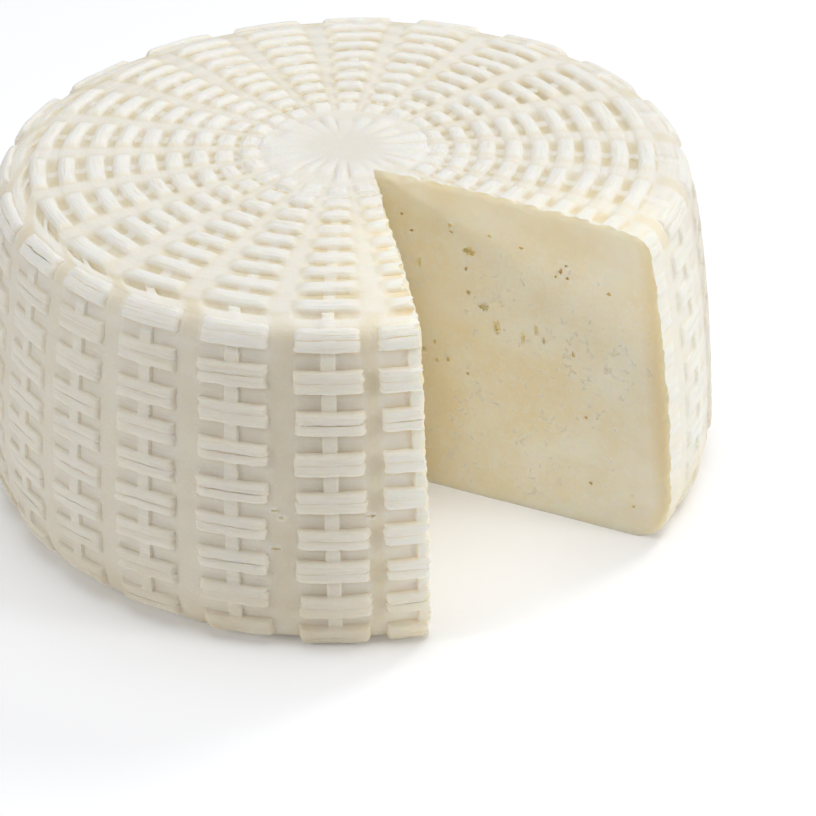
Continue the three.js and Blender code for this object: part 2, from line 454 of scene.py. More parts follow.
def stake_rise(number, turned):
    """Rise of the upright strands beside a row, in each column."""
    if number < WALL_ROWS:
        return np.full(COLUMNS, STAKE_RISE)
    over_rim = RIM_STAKE_RISE * np.clip(1 - np.abs(turned) / RIM_STAKE_TURN, 0, 1)
    across_top = rng.uniform(*TOP_STAKE_RISE, COLUMNS)
    return over_rim if number == WALL_ROWS else across_top


def gap_crease(number, angles):
    """Crease in the gaps beside a row, in each column."""
    if number < WALL_ROWS:
        return varied(angles, WALL_GAP_CREASE, WALL_GAP_DRAWS)
    return np.full(COLUMNS, RIM_GAP_CREASE if number == WALL_ROWS else TOP_GAP_CREASE)


def bar_lines(row, low, high, angles):
    """Lines of the grid across a row of bars, from its lower to its upper edge."""
    on_top = row.number > WALL_ROWS
    innermost = row.number + 1 == BAR_COUNT
    top_gap = varied(angles, TOP_GAP_BAR, TOP_GAP_DRAWS)
    lines = []
    for share, height, depth in TOP_SECTION if on_top else WALL_SECTION:
        run = (low + high) / 2 + (high - low) / 2 * (share + row.offset * (1 - abs(share)))
        relief = height * row.rise
        crease = np.full(COLUMNS, depth)
        gap = np.full(COLUMNS, WALL_GAP)
        groove = np.zeros(COLUMNS) if on_top or share else row.groove
        if on_top:
            gap = row.rise * between(TOP_GAP_RECESS, top_gap, height)
        if innermost:
            relief = np.maximum(relief, FLUTE_FOOT) if share > 0 else relief
            crease = depth * (relief > FLUTE_FOOT)
        lines.append(Line(run, relief, gap, row.stake, groove, crease, row.gap_crease, row.number))
    return lines


def recess_lines(row, low, high, angles):
    """Lines of the grid between a row's upper edge and the next row's lower edge."""
    on_wall = row.number < WALL_ROWS
    on_rim = row.number == WALL_ROWS
    if on_rim:
        section = STRIP_SECTION
    elif on_wall:
        section = [(share, WALL_RECESS, WALL_RECESS_CREASE) for share in RECESS_PLACES]
    else:
        recess = varied(angles, TOP_RECESS, TOP_RECESS_DRAWS)
        section = [(share, recess, TOP_RECESS_CREASE) for share in RECESS_PLACES]
    lines = []
    for share, height, depth in section:
        run = low + (high - low) * share
        fades = on_rim and share > STRIP_INNER
        shown = varied(angles, 1, STRIP_DRAWS) if fades else np.ones(COLUMNS)
        lowest = 0 if on_rim else TOP_GAP_RECESS
        gap = np.full(COLUMNS, WALL_GAP) if on_wall else row.rise * np.maximum(height, lowest)
        relief = height * row.rise * shown
        groove = np.zeros(COLUMNS)
        place = row.number + share
        lines.append(Line(run, relief, gap, row.stake, groove, depth * shown, row.gap_crease, place))
    return lines


def weave_lines(bands, angles, turned):
    """Lines of the grid from the foot to the last ring, from each column's angle and turn over the rim."""
    flat = np.zeros(COLUMNS)
    # The foot's lines get painted shade, for the dark undercut at the floor
    foot_shade = np.full(COLUMNS, FOOT_CREASE)
    lines = [Line(bands[0][0] * share, flat, flat, flat, flat, foot_shade, foot_shade, 0) for share in FOOT_PLACES]
    for number, (low, high) in enumerate(bands):
        rise = bar_rise(number, angles)
        stake = stake_rise(number, turned)
        groove = np.clip(rng.gamma(*GROOVE_GAMMA, COLUMNS), *GROOVE_LIMITS)
        offset = rng.normal(0, GROOVE_SCATTER, COLUMNS)
        row = Row(number, rise, stake, groove, offset, gap_crease(number, angles))
        lines += bar_lines(row, low, high, angles)
        if number + 1 < BAR_COUNT:
            lines += recess_lines(row, high, bands[number + 1][0], angles)
    return lines


def across(radius, left, right, on_top):
    """Angles of the grid's lines along a bar, from its left end to its right, measured from its middle."""
    degree = np.degrees(1 / radius)
    size = np.minimum(1.0, radius / FINE_RADIUS) * degree
    stake = np.minimum(STAKE_HALF * between(1, TOP_STAKE_SHARE, on_top) * degree, STAKE_MOST * left)
    crest = stake - STAKE_EDGE * size
    steep, full = (
        np.minimum(size * between(wall, top, on_top), most * np.minimum(left, right))
        for wall, top, most in END_SLOPES
    )
    left_half = [left, left - steep, left - full, OUTER_LINE * left, INNER_LINE * left, stake, crest]
    right_half = [crest, stake, INNER_LINE * right, OUTER_LINE * right, right - full, right - steep, right]
    return np.stack([-offset for offset in left_half] + [0 * radius] + right_half, 1)


def wandered(run, angle):
    """Runs of the grid's points, moved a little to and fro along the profile."""
    turn = np.radians(angle) * radius_at_run(run)
    spots = np.stack([turn / WANDER_LENGTH, run / WANDER_WIDTH, 0 * run], 2).reshape(-1, 3)
    moved = WANDER * unevenness(spots, 1.0, WANDER_PLACE).reshape(run.shape)
    return run + moved * np.clip(run / WANDER_FOOT, 0, 1)


def with_gaps(line, run, angle, height, crease):
    """Adds the gap's points after each column's own, and joins the columns to a ring."""
    next_angle = np.append(angle[1:, 0], angle[0, 0] + 360)
    next_run = np.roll(run[:, 0], -1)
    count = len(GAP_PLACES)
    gap_angle = angle[:, -1:] + (next_angle - angle[:, -1])[:, None] * GAP_PLACES
    gap_run = run[:, -1:] + (next_run - run[:, -1])[:, None] * GAP_PLACES
    gap_height = np.repeat(line.gap[:, None], count, 1)
    gap_depth = np.repeat(line.gap_crease[:, None], count, 1)
    pairs = ((run, gap_run), (angle, gap_angle), (height, gap_height), (crease, gap_depth))
    return [np.concatenate(pair, 1).ravel() for pair in pairs]


def weave_rings():
    """Run, angle, relief and crease of every point of the woven surface, ring by ring from the foot."""
    wall_angles, top_angles = column_angles()
    wall_halves, top_halves = bar_halves(wall_angles), bar_halves(top_angles)
    ends = rng.normal(0, END_SCATTER, (2, BAR_COUNT, COLUMNS))
    slants = rng.normal(0, SLANT_SCATTER, (BAR_COUNT, COLUMNS))
    wall_shade_and_whey = varied(wall_angles, SHADE_AND_WHEY_SHARE, SHADE_AND_WHEY_DRAWS)
    top_shade_and_whey = varied(top_angles, TOP_SHADE_AND_WHEY_SHARE, TOP_SHADE_AND_WHEY_DRAWS)
    rings = []
    for line in weave_lines(bar_bands(wall_angles), wall_angles, top_angles - wall_angles):
        row = int(line.place)
        following = min(row + 1, BAR_COUNT - 1)
        share = line.place - row
        on_top = np.clip(line.place - WALL_ROWS, 0, 1)
        half = between(wall_halves, top_halves, on_top)
        ragged = rng.normal(0, RAGGED_SCATTER, (2, COLUMNS))
        left, right = half + between(ends[:, row], ends[:, following], share) + ragged
        slant = between(slants[row], slants[following], share)
        offset = across(radius_at_run(line.run), left, right, on_top)
        height = between(line.gap[:, None], line.relief[:, None], END_RELIEF)
        height = np.where(ON_STAKE, np.maximum(height, line.stake[:, None]), height)
        height = height - np.minimum(line.groove, np.maximum(line.relief, 0))[:, None] * GROOVE_REACH
        crease = np.maximum(line.crease[:, None] * CREASE_REACH, END_CREASE)
        # Crease values, which set painted shade with some whey colour, weighted by heading
        crease = crease * between(wall_shade_and_whey, top_shade_and_whey, on_top)[:, None]
        angle = between(wall_angles, top_angles, on_top)[:, None] + offset
        run = wandered(line.run[:, None] + (slant / half)[:, None] * offset, angle)
        rings.append(with_gaps(line, run, angle, height, crease))
    return rings


def hub_rings(angle):
    """Rings of the top's middle: flutes that fade out, then the smooth disc."""
    count = len(angle) // COLUMNS
    share = np.tile(np.linspace(-1, 1, count), COLUMNS)
    depth = varied(angle.reshape(COLUMNS, count).mean(1), 1, FLUTE_DRAWS)
    groove = np.repeat(rng.uniform(*FLUTE_GROOVES, COLUMNS) * depth, count)
    end = np.repeat(rng.uniform(*FLUTE_ENDS, COLUMNS), count)
    rings = []
    for radius in HUB_RADII + DISC_RADII:
        step = 1 if radius in HUB_RADII else 2
        fade = np.clip((radius - DISC_RADII[0]) / FLUTE_START_SLOPE, 0, 1)
        ridge = 1 - fade * groove * np.abs(share) ** FLUTE_SHARPNESS
        flute = between(DISC_RISE, FLUTE_RISE * ridge, fade)
        outside = np.clip((radius - end + FLUTE_END_SLOPE / 2) / FLUTE_END_SLOPE, 0, 1)
        height = between(flute, FLUTE_FOOT, outside)[::step]
        crease = np.clip(HUB_CREASE - HUB_CREASE_FALL * height, 0, HUB_CREASE_MOST)
        rings.append((run_at_radius(np.full(len(height), radius)), angle[::step], height, crease))
    return rings


def cut_axes(heading):
    """Directions along a cut, and square to it towards larger headings."""
    turn = np.radians(heading)
    return np.array([np.sin(turn), -np.cos(turn)]), np.array([np.cos(turn), np.sin(turn)])


def dragged(points, height):
    """Heights over the smooth surface, levelled beside the right cut."""
    along, square = cut_axes(CUT_RIGHT)
    away = points[:, :2] - CUT_CORNER
    near = np.clip(DRAG_FULL - np.abs(away @ square) / DRAG_WIDTH, 0, 1) * (away @ along >= 0)
    return height + DRAG_SHARE * near * (DRAG_LEVEL - height)


def skin_points(run, angle, height):
    """Points in space of the moulded skin, with the unevenness of a hand-filled mould."""
    radius, level = radius_at_run(run), np.interp(run, RUN, LEVELS)
    out, up = (np.interp(run, RUN, NORMALS[:, axis]) for axis in (0, 1))
    turn = np.radians(angle)
    smooth = np.stack([radius * np.sin(turn), -radius * np.cos(turn), level], 1)
    height = dragged(smooth, height)
    strands = np.stack([run / STRAND_WIDTH, radius * turn / STRAND_LENGTH, 0 * run], 1)
    strand_rise = STRAND_DEPTH * np.clip(height, *STRAND_RISES) * unevenness(strands, 1.0, STRAND_PLACE)
    rise = height + layered(smooth, SKIN_LAYERS) + strand_rise
    radius = radius + out * rise
    level = np.maximum(level + up * rise, 0.0)
    return np.stack([radius * np.sin(turn), -radius * np.cos(turn), level], 1)


def band_faces(low, high):
    """Faces between two rings of vertex numbers; the second has as many as the first, or half of them."""
    following = np.roll(high, -1)
    if len(low) == len(high):
        return np.stack([low, np.roll(low, -1), following, high], 1).tolist()
    start, middle, end = low[0::2], low[1::2], np.roll(low, -2)[0::2]
    corners = [(start, middle, high), (middle, following, high), (middle, end, following)]
    return [face for corner in corners for face in np.stack(corner, 1).tolist()]


def moulded_wheel():
    """Mesh data of the wheel before it is cut: points, faces, and how deep in a crease each point lies."""
    rings = []
    for ring in weave_rings():
        step = 1 if radius_at_run(ring[0]).mean() > FINE_RADIUS else 2
        rings.append([values[::step] for values in ring])
    rings += hub_rings(rings[-1][1])
    points = [skin_points(run, angle, height) for run, angle, height, _ in rings]
    creases = [crease for *_, crease in rings]
    base_angle = np.radians(rings[0][1])
    for radius in BASE_RADII:
        base_angle = base_angle[::2]
        points.append(radius * np.stack([np.sin(base_angle), -np.cos(base_angle), 0 * base_angle], 1))
        creases.append(np.full(len(base_angle), BASE_CREASE))
    starts = np.cumsum([0] + [len(ring) for ring in points])
    numbers = [np.arange(start, end) for start, end in zip(starts, starts[1:])]
    skin, base = numbers[:len(rings)], [numbers[0]] + numbers[len(rings):]
    faces = [face for low, high in zip(skin, skin[1:]) for face in band_faces(low, high)]
    faces.append(skin[-1].tolist())
    faces += [face[::-1] for outer, inner in zip(base, base[1:]) for face in band_faces(outer, inner)]
    faces.append(base[-1][::-1].tolist())
    return np.concatenate(points), faces, np.concatenate(creases)


def new_object(name, points, faces):
    mesh = bpy.data.meshes.new(name)
    mesh.from_pydata((np.asarray(points) * MM).tolist(), [], faces)
    made = bpy.data.objects.new(name, mesh)
    bpy.context.collection.objects.link(made)
    return made


def mark_points(made, name, values):
    """Gives each point of an object's mesh a value that its material reads by name."""
    made.data.attributes.new(name, "FLOAT", "POINT").data.foreach_set("value", values)


def cut_length(heading, level):
    """How far a cut runs from its corner to the smooth wall at a level."""
    along, _ = cut_axes(heading)
    ahead = CUT_CORNER @ along
    return np.sqrt(ahead ** 2 - CUT_CORNER @ CUT_CORNER + wall_radius(level) ** 2) - ahead


def cut_line(heading, side, level):
    """Points of a knife cut at one level, from the corner out, wavy and rounded where it meets the skin."""
    along, square = cut_axes(heading)
    length = cut_length(heading, level)
    inside = np.linspace(0, length - CUT_LINES_END, CUT_LINES)
    run = np.concatenate([inside, length + np.array(CUT_SKIN_LINES)])
    points = np.column_stack([CUT_CORNER + run[:, None] * along, np.full(len(run), level)])
    top = top_level(np.hypot(points[:, 0], points[:, 1]))
    depth = np.maximum(np.minimum(length + WALL_WEAVE - run, top + TOP_WEAVE - level), 0)
    jagged = layered(points, JAGGED_LAYERS) * np.exp(-depth / JAGGED_DEPTH)
    jagged = jagged * (JAGGED_LEFT if side < 0 else JAGGED_RIGHT)
    edge = EDGE_ROUND * np.exp(-(depth / EDGE_DEPTH) ** 2)
    into = (layered(points, CUT_LAYERS) + jagged + edge) * np.minimum(run / CUT_START, 1.0)
    points[:, :2] += side * into[:, None] * square
    return points


def torn_share(points):
    """How torn the curd of the right cut is at points, most round the eyes listed."""
    along, square = cut_axes(CUT_RIGHT)
    away = points[:, :2] - CUT_CORNER
    torn = np.zeros(len(points))
    for eye in RIGHT_EYES:
        reach = TORN_REACH + max(eye.width, eye.tall) / 2
        distance = (away @ along - eye.run) ** 2 + (points[:, 2] - eye.level) ** 2
        torn = np.maximum(torn, np.exp(-distance / reach ** 2))
    return torn * (np.abs(away @ square) < TORN_ASIDE)


def wedge_cutter():
    """Closed solid of the wedge that was taken out."""
    loops = []
    for level in [*CUT_LOW_LEVELS, *CUT_LEVELS, *CUT_TOP_LEVELS]:
        right = cut_line(CUT_RIGHT, 1, level)
        left = cut_line(CUT_LEFT, -1, level)
        loops.append(np.concatenate([right[::-1], left[1:]]))
    count = len(loops[0])
    numbers = [np.arange(count) + count * index for index in range(len(loops))]
    faces = [face for low, high in zip(numbers, numbers[1:]) for face in band_faces(low, high)]
    faces += [numbers[-1].tolist(), numbers[0][::-1].tolist()]
    points = np.concatenate(loops)
    cutter = new_object("wedge_cutter", points, faces)
    mark_points(cutter, "torn", torn_share(points))
    return cutter


# A hollow: its place seen from above, directions along and into the curd, height, width, tallness and lean
Hollow = namedtuple("Hollow", "place along inward level width tall lean")


def is_clear(eye, others):
    """Whether an eye keeps clear of all others."""
    for other in others:
        needed = LOOSE_CLEARANCE + (eye.width + eye.tall + other.width + other.tall) / 2
        if np.hypot(eye.run - other.run, eye.level - other.level) <= needed:
            return False
    return True


def all_eyes(heading, listed):
    """The eyes listed for a cut, and small seeded ones that keep clear of them and of each other."""
    eyes = list(listed)
    while len(eyes) < len(listed) + LOOSE_EYES:
        level = rng.uniform(*LOOSE_LEVELS)
        run = rng.uniform(LOOSE_START, cut_length(heading, level) - LOOSE_END)
        eye = Eye(run, level, *rng.uniform(*LOOSE_SIZES, 2), 0)
        if is_clear(eye, eyes):
            eyes.append(eye._replace(lean=rng.uniform(*LOOSE_LEANS)))
    return eyes


def cut_hollows():
    """Hollows of the eyes in both cut faces."""
    hollows = []
    for heading, side, listed in ((CUT_RIGHT, 1, RIGHT_EYES), (CUT_LEFT, -1, [])):
        along, square = cut_axes(heading)
        for run, *size in all_eyes(heading, listed):
            hollows.append(Hollow(CUT_CORNER + run * along, along, side * square, *size))
    return hollows


def skin_hollows():
    """Hollows of the torn spots in the wall."""
    hollows = []
    for heading, level, width, tall in TEARS:
        out, along = cut_axes(heading)
        hollows.append(Hollow(out * wall_radius(level), along, -out, level, width, tall, 0.0))
    return hollows


def hollow_cutter(hollows):
    """Small uneven blobs, one for each hollow."""
    shapes = bmesh.new()
    for hollow in hollows:
        fineness = 3 if hollow.width > FINE_HOLLOW else 2
        blob = bmesh.ops.create_icosphere(shapes, subdivisions=fineness, radius=1.0)["verts"]
        depth = HOLLOW_DEPTH + HOLLOW_DEPTH_SHARE * min(hollow.width, hollow.tall)
        sunk = Vector((*hollow.inward, 0)) * depth
        wide = Vector((*hollow.along, 0)) * hollow.width / 2
        axes = Matrix((wide, Vector((0, 0, hollow.tall / 2)), sunk)).transposed()
        place = Vector((*hollow.place, hollow.level))
        turn = Matrix.Rotation(np.radians(hollow.lean), 3, "Z")
        for vertex in blob:
            uneven = 1 + HOLLOW_UNEVEN * noise.noise(vertex.co * HOLLOW_LUMPS + place)
            vertex.co = (place + sunk * HOLLOW_SINK + axes @ turn @ vertex.co * uneven) * MM
        if axes.determinant() < 0:
            mirrored = {face for vertex in blob for face in vertex.link_faces}
            bmesh.ops.reverse_faces(shapes, faces=list(mirrored))
    mesh = bpy.data.meshes.new("hollow_cutter")
    shapes.to_mesh(mesh)
    shapes.free()
    made = bpy.data.objects.new("hollow_cutter", mesh)
    bpy.context.collection.objects.link(made)
    return made


def cut_away(piece, cutter, material_number):
    """Takes a closed shape out of a piece; the faces that this opens get the material of that number."""
    for material in piece.data.materials:
        cutter.data.materials.append(material)
    numbers = np.full(len(cutter.data.polygons), material_number, dtype=np.int32)
    cutter.data.polygons.foreach_set("material_index", numbers)
    cut = piece.modifiers.new("cut", "BOOLEAN")
    cut.operation = "DIFFERENCE"
    cut.solver = "MANIFOLD"
    cut.object = cutter
    depsgraph = bpy.context.evaluated_depsgraph_get()
    done = bpy.data.meshes.new_from_object(piece.evaluated_get(depsgraph))
    piece.modifiers.clear()
    piece.data = done
    bpy.data.objects.remove(cutter)


def joined_faces(start):
    """All faces that hang together with one face."""
    joined = {start}
    waiting = [start]
    while waiting:
        near = {face for edge in waiting.pop().edges for face in edge.link_faces} - joined
        joined |= near
        waiting += near
    return joined


def weld(mesh):
    """Joins points that the cuts left in one place, and takes out flat pairs of faces and loose crumbs."""
    shapes = bmesh.new()
    shapes.from_mesh(mesh)
    bmesh.ops.triangulate(shapes, faces=shapes.faces)
    bmesh.ops.remove_doubles(shapes, verts=shapes.verts, dist=WELD_REACH * MM)
    sharing = {}
    for face in shapes.faces:
        sharing.setdefault(frozenset(face.verts), []).append(face)
    flat = [face for faces in sharing.values() if len(faces) > 1 for face in faces]
    bmesh.ops.delete(shapes, geom=flat, context="FACES")
    body = joined_faces(max(shapes.faces, key=lambda face: face.calc_area()))
    crumbs = [face for face in shapes.faces if face not in body]
    bmesh.ops.delete(shapes, geom=crumbs, context="FACES")
    shapes.to_mesh(mesh)
    shapes.free()


def add(tree, kind, values=None, links=None, out=0, **settings):
    """Adds a node with its settings, socket values and links, and returns one of its outputs."""
    made = tree.nodes.new(kind)
    for name, value in settings.items():
        setattr(made, name, value)
    for socket, value in (values or {}).items():
        made.inputs[socket].default_value = value
    for socket, source in (links or {}).items():
        tree.links.new(source, made.inputs[socket])
    return made.outputs[out] if made.outputs else made


def new_material(name):
    material = bpy.data.materials.new(name)
    material.use_nodes = True
    material.node_tree.nodes.clear()
    return material, material.node_tree


# Light that passes into the curd and out again, which softens its shade
GLOW = {"Subsurface Weight": 0.55, "Subsurface Radius": (1.0, 0.75, 0.45), "Subsurface Scale": 3.2 * MM}
CURD_IOR = 1.4

# Patterns of the skin, from their sizes; to draw fibres out, a radian round the wheel counts as FIBRE_TURN
FIBRE_TURN = 5.0
FIBRE_WIDTH = 0.7
NO_FIBRES = 0.5
GRAIN_SIZE = 0.7
SKIN_PATCH = 9.0
FIBRES = {"Scale": 1 / FIBRE_WIDTH, "Detail": 4.0}
SKIN_GRAIN = {"Scale": 1 / GRAIN_SIZE, "Detail": 3.0}
SKIN_PATCHES = {"Scale": 1 / SKIN_PATCH, "Detail": 4.0}

# Where the skin changes, as ranges of a height, a distance or a pattern, and what they turn to
WOVEN = {"From Min": 9.0, "From Max": 20.0}
STAINED = {"From Min": 0.35, "From Max": 0.7, "To Min": 0.55, "To Max": 1.0}
# Painted shade at the foot, growing towards the floor, where little light reaches
SHADED_FOOT = {"From Min": 20.0, "From Max": 3.0, "To Max": 0.85}
STREAKS = {"From Min": 0.52, "From Max": 0.72, "To Max": 0.45}
# Height range over which the wall's creamier colours turn to the top's whiter ones, painted light for the
# brightly lit top
LIT_TOP_LEVELS = {"From Min": 65.0, "From Max": 72.0}
HUB = {"From Min": 17.0, "From Max": 7.0}
# Near the left cut's outer edge the skin gets a painted glow of light shining through the thin curd
THIN_EDGE = 20.0
THIN_EDGE_FULL = 1.0
THIN_OUTER = {"From Min": 22.0, "From Max": 40.0}
SPECKS = {"From Min": 0.62, "From Max": 0.76, "To Max": 0.4}
SKIN_ROUGHNESS = {"To Min": 0.5, "To Max": 0.66}

# Fine relief of the skin, with fibres that are fainter in the creases
FIBRE_STRENGTH = {"From Max": 0.45, "To Min": 0.9, "To Max": 0.25}
FIBRE_DEPTH = {"Distance": 0.4 * MM}
GRAIN_DEPTH = {"Strength": 0.5, "Distance": 0.25 * MM}

# Patterns of the cut curd, from their sizes
CUT_PATCH = 12.0
CLUSTER_SIZE = 15.0
CRUMB_SIZE = 1.8
PIT_SIZE = 1.9
CUT_PATCHES = {"Scale": 1 / CUT_PATCH, "Detail": 5.0}
PIT_CLUSTERS = {"Scale": 1 / CLUSTER_SIZE, "Detail": 1.0}
CRUMB = {"Scale": 1 / CRUMB_SIZE, "Detail": 6.0, "Roughness": 0.6}
PITS = {"Scale": 1 / PIT_SIZE, "Detail": 6.0, "Roughness": 0.6, "Distortion": 0.4}

# Where the cut curd changes, as ranges of the same kind
WALL_LEAN = 0.09
# A painted yellow band of light shining through the thin curd beside the wall on the right
BESIDE_WALL = {"From Min": 77.5, "From Max": 80.5, "To Max": 0.7}
ON_RIGHT = {"From Min": 25.0, "From Max": 40.0}
# Painted shadow low in the inner corner of the cut
INNER_CORNER = {"From Min": 34.0, "From Max": 13.0, "To Max": 0.85}
LOW_CORNER = {"From Min": 62.0, "From Max": 36.0}
BELOW_TOP = {"From Min": 67.0, "From Max": 60.0}
CLUSTERED = {"From Min": 0.4, "From Max": 0.6, "To Min": -0.07, "To Max": -0.01}
# Pit rims get a painted highlight and pit middles painted shade
PIT_RIMS = {"From Min": 0.5, "From Max": 0.58, "To Max": 0.6}
PIT_MIDDLES = {"From Min": 0.58, "From Max": 0.65, "To Max": 0.35}
FLAKES = {"From Min": 0.44, "From Max": 0.58, "To Max": 0.8}
CUT_BLEND = {"From Min": 0.35, "From Max": 0.65}
CUT_ROUGHNESS = 0.48

# Fine relief of the cut curd
PIT_DEPTH = {"Strength": 0.7, "Distance": 0.6 * MM}
CRUMB_DEPTH = {"Strength": 0.6, "Distance": 0.5 * MM}


def place_on_wheel(tree):
    """Place in millimetres, the same without its height, and the distance from the wheel's axis."""
    place = add(tree, "ShaderNodeTexCoord", out="Object")
    spot = add(tree, "ShaderNodeVectorMath", {1: (1 / MM,) * 3}, {0: place}, operation="MULTIPLY")
    flat = add(tree, "ShaderNodeVectorMath", {1: (1, 1, 0)}, {0: spot}, operation="MULTIPLY")
    radius = add(tree, "ShaderNodeVectorMath", links={0: flat}, out="Value", operation="LENGTH")
    return spot, flat, radius


def fibre_marks(tree, flat, radius, level):
    """Pattern of fibres that run round the wheel, on the wall and on the top, and fade into the hub."""
    rung = add(tree, "ShaderNodeMath", links={0: radius, 1: level}, operation="SUBTRACT")
    heading = add(tree, "ShaderNodeVectorMath", links={0: flat}, operation="NORMALIZE")
    wound = add(tree, "ShaderNodeVectorMath", {"Scale": FIBRE_TURN}, {0: heading}, operation="SCALE")
    rungs = add(tree, "ShaderNodeCombineXYZ", links={"Z": rung})
    fibre_place = add(tree, "ShaderNodeVectorMath", links={0: wound, 1: rungs}, operation="ADD")
    fibres = add(tree, "ShaderNodeTexNoise", FIBRES, {"Vector": fibre_place}, out="Fac")
    woven = add(tree, "ShaderNodeMapRange", WOVEN, {"Value": radius})
    return add(tree, "ShaderNodeMix", {2: NO_FIBRES}, {0: woven, 3: fibres})


def shade_and_whey_share(tree, spot, level, fibres, depth):
    """How much of the crease tint shows, painted shade with some whey: in creases and fibre streaks, and as
    painted shade at the foot, in uneven patches.
    """
    foot_shade = add(tree, "ShaderNodeMapRange", SHADED_FOOT, {"Value": level})
    streaks = add(tree, "ShaderNodeMapRange", STREAKS, {"Value": fibres})
    creased = add(tree, "ShaderNodeMath", links={0: depth, 1: streaks}, operation="MAXIMUM")
    tint_share = add(tree, "ShaderNodeMath", links={0: creased, 1: foot_shade}, operation="MAXIMUM")
    patches = add(tree, "ShaderNodeTexNoise", SKIN_PATCHES, {"Vector": spot}, out="Fac")
    stained = add(tree, "ShaderNodeMapRange", STAINED, {"Value": patches})
    return add(tree, "ShaderNodeMath", links={0: tint_share, 1: stained}, operation="MULTIPLY")


def thin_share(tree, spot):
    """How close the skin is to the outer edge of the left cut, where a glow of light through the thin curd is
    painted.
    """
    along, square = cut_axes(CUT_LEFT)
    aside, ahead = (
        add(tree, "ShaderNodeVectorMath", {1: (*way, 0)}, {0: spot}, out="Value", operation="DOT_PRODUCT")
        for way in (square, along)
    )
    cut = CUT_CORNER @ square
    beside_cut = {"From Min": cut - THIN_EDGE, "From Max": cut - THIN_EDGE_FULL}
    near = add(tree, "ShaderNodeMapRange", beside_cut, {"Value": aside})
    outer = add(tree, "ShaderNodeMapRange", THIN_OUTER, {"Value": ahead})
    return add(tree, "ShaderNodeMath", links={0: near, 1: outer}, operation="MULTIPLY")


def skin_colours(tree, spot, radius, level):
    """Colours of the skin and of its crease tint, for the wall, the top, the hub and the thin edge: the top
    painted whiter for its bright light, the creases painted shade with some whey, and the thin edge a painted
    glow.
    """
    lit_top = add(tree, "ShaderNodeMapRange", LIT_TOP_LEVELS, {"Value": level})
    middle = add(tree, "ShaderNodeMapRange", HUB, {"Value": radius})
    hub = add(tree, "ShaderNodeMath", links={0: middle, 1: lit_top}, operation="MULTIPLY")
    thin = thin_share(tree, spot)
    creams = {6: linear(WALL_CREAM), 7: linear(TOP_WHITE)}
    rind = add(tree, "ShaderNodeMix", creams, {"Factor": lit_top}, out=2, data_type="RGBA")
    grey = {7: linear(HUB_GREY)}
    greyed = add(tree, "ShaderNodeMix", grey, {"Factor": hub, 6: rind}, out=2, data_type="RGBA")
    white = {7: linear(EDGE_GLOW_WHITE)}
    skin = add(tree, "ShaderNodeMix", white, {"Factor": thin, 6: greyed}, out=2, data_type="RGBA")
    crease_tints = {6: linear(WALL_SHADE_AND_WHEY), 7: linear(TOP_SHADE_AND_WHEY)}
    crease_tint = add(tree, "ShaderNodeMix", crease_tints, {"Factor": lit_top}, out=2, data_type="RGBA")
    gold = {7: linear(EDGE_GLOW_GOLD)}
    tint = add(tree, "ShaderNodeMix", gold, {"Factor": thin, 6: crease_tint}, out=2, data_type="RGBA")
    return skin, tint


# Fresh curd, set against a woven mould: matt and moist, white on the raised strands and painted whiter on the
# brightly lit top, and creamier in the creases with painted shade and some whey, with painted shade at the
# foot, a painted glow beside the left cut and faint marks of the strands' fibres
def moulded_curd():
    material, tree = new_material("moulded_fresh_curd")
    spot, flat, radius = place_on_wheel(tree)
    level = add(tree, "ShaderNodeSeparateXYZ", links={0: spot}, out="Z")
    depth = add(tree, "ShaderNodeAttribute", out="Fac", attribute_name="crease")
    fibres = fibre_marks(tree, flat, radius, level)
    skin, tint = skin_colours(tree, spot, radius, level)
    tint_share = shade_and_whey_share(tree, spot, level, fibres, depth)
    stained = add(tree, "ShaderNodeMix", links={"Factor": tint_share, 6: skin, 7: tint}, out=2, data_type="RGBA")
    grain = add(tree, "ShaderNodeTexNoise", SKIN_GRAIN, {"Vector": spot}, out="Fac")
    specks = add(tree, "ShaderNodeMapRange", SPECKS, {"Value": grain})
    crumbs = {7: linear(CRUMB_WHITE)}
    colour = add(tree, "ShaderNodeMix", crumbs, {"Factor": specks, 6: stained}, out=2, data_type="RGBA")
    roughness = add(tree, "ShaderNodeMapRange", SKIN_ROUGHNESS, {"Value": grain})
    strength = add(tree, "ShaderNodeMapRange", FIBRE_STRENGTH, {"Value": depth})
    lines = add(tree, "ShaderNodeBump", FIBRE_DEPTH, {"Height": fibres, "Strength": strength})
    bumps = add(tree, "ShaderNodeBump", GRAIN_DEPTH, {"Height": grain, "Normal": lines})
    surface = add(
        tree, "ShaderNodeBsdfPrincipled", {"IOR": CURD_IOR} | GLOW,
        {"Base Color": colour, "Roughness": roughness, "Normal": bumps},
    )
    add(tree, "ShaderNodeOutputMaterial", links={"Surface": surface})
    return material


def glow_and_shade_share(tree, spot, radius, level):
    """Share of painted light in a cut: a yellow band of light shining through the thin curd beside the wall
    on the right, and painted shadow low in the inner corner.
    """
    lean = add(tree, "ShaderNodeMath", {1: WALL_LEAN}, {0: level, 2: radius}, operation="MULTIPLY_ADD")
    beside = add(tree, "ShaderNodeMapRange", BESIDE_WALL, {"Value": lean})
    aside = add(tree, "ShaderNodeSeparateXYZ", links={0: spot}, out="X")
    right = add(tree, "ShaderNodeMapRange", ON_RIGHT, {"Value": aside})
    rind = add(tree, "ShaderNodeMath", links={0: beside, 1: right}, operation="MULTIPLY")
    inner = add(tree, "ShaderNodeMapRange", INNER_CORNER, {"Value": radius})
    low = add(tree, "ShaderNodeMapRange", LOW_CORNER, {"Value": level})
    corner = add(tree, "ShaderNodeMath", links={0: inner, 1: low}, operation="MULTIPLY")
    return add(tree, "ShaderNodeMath", links={0: corner, 1: rind}, operation="MAXIMUM")


